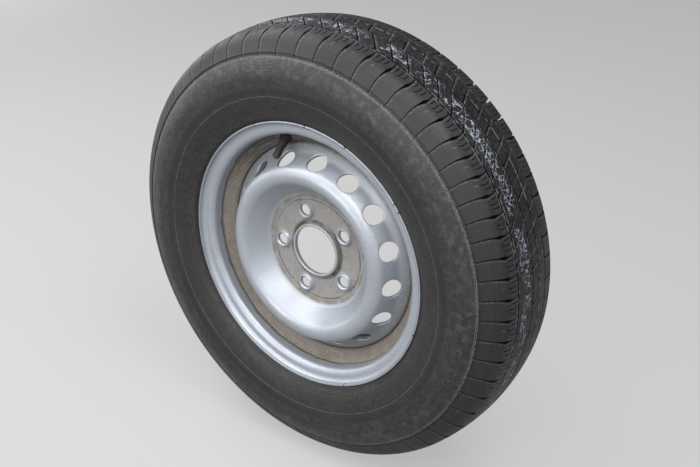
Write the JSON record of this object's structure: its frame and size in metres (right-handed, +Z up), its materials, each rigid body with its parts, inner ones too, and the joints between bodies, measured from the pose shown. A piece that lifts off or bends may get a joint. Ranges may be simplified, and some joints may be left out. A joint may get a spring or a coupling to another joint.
{
  "type": "wheel and tyre assembly",
  "caption": "Pressed steel road wheel with vented disc, dished hub and tubeless tyre with grooved tread and a snap-in valve with screw cap.",
  "frame": {"origin": "centre of the wheel: on the spin axis, in the middle plane of the rim and tyre", "axes": "Y is the spin axis and the outer face looks along -Y; +Z is up, with the wheel standing on its tread; the valve stands 17.6 degrees from the top towards -X"},
  "size_m": [0.596, 0.166, 0.596],
  "materials": {
    "tyre_rubber": "matt, faintly dusty",
    "painted_steel": "silver paint, satin",
    "valve_rubber": "matt",
    "seal_rubber": "matt",
    "brass": "machined",
    "spring_steel": "drawn wire",
    "cap_plastic": "moulded"
  },
  "bodies": {
    "wheel": {"tyre": "tyre_rubber", "rim": "painted_steel", "disc": "painted_steel", "disc_weld_1": "painted_steel", "disc_weld_2": "painted_steel", "disc_weld_3": "painted_steel", "disc_weld_4": "painted_steel", "disc_weld_5": "painted_steel", "disc_weld_6": "painted_steel", "disc_weld_7": "painted_steel", "disc_weld_8": "painted_steel", "valve_body": "valve_rubber", "valve_stem": "brass", "core_plug": "brass", "core_barrel": "brass", "core_gasket": "seal_rubber", "core_spring": "spring_steel"},
    "cap_carrier": {"cap_seal": "seal_rubber"},
    "cap": {"cap_shell": "cap_plastic"},
    "pin": {"core_pin": "brass", "core_cup": "brass", "core_cup_seal": "seal_rubber"}
  },
  "joints": [
    {"name": "cap_lift", "type": "slide", "parent": "wheel", "child": "cap_carrier", "axis": [0.17, -0.8269, -0.536], "range_m": [0, 0.00953]},
    {"name": "cap_turn", "type": "hinge", "parent": "cap_carrier", "child": "cap", "pos_m": [-0.04189, -0.05872, 0.13205], "axis": [0.17, -0.8269, -0.536], "range_deg": [0, 4320]},
    {"name": "core_pin_press", "type": "slide", "parent": "wheel", "child": "pin", "axis": [-0.17, 0.8269, 0.536], "range_m": [0, 0.0012], "stiffness_N_per_m": 300, "springref_m": -0.003, "deforming": ["core_spring"]}
  ],
  "couplings": [
    {"joint": "cap_turn", "follows": "cap_lift", "rad_per_m": 7913.3}
  ]
}
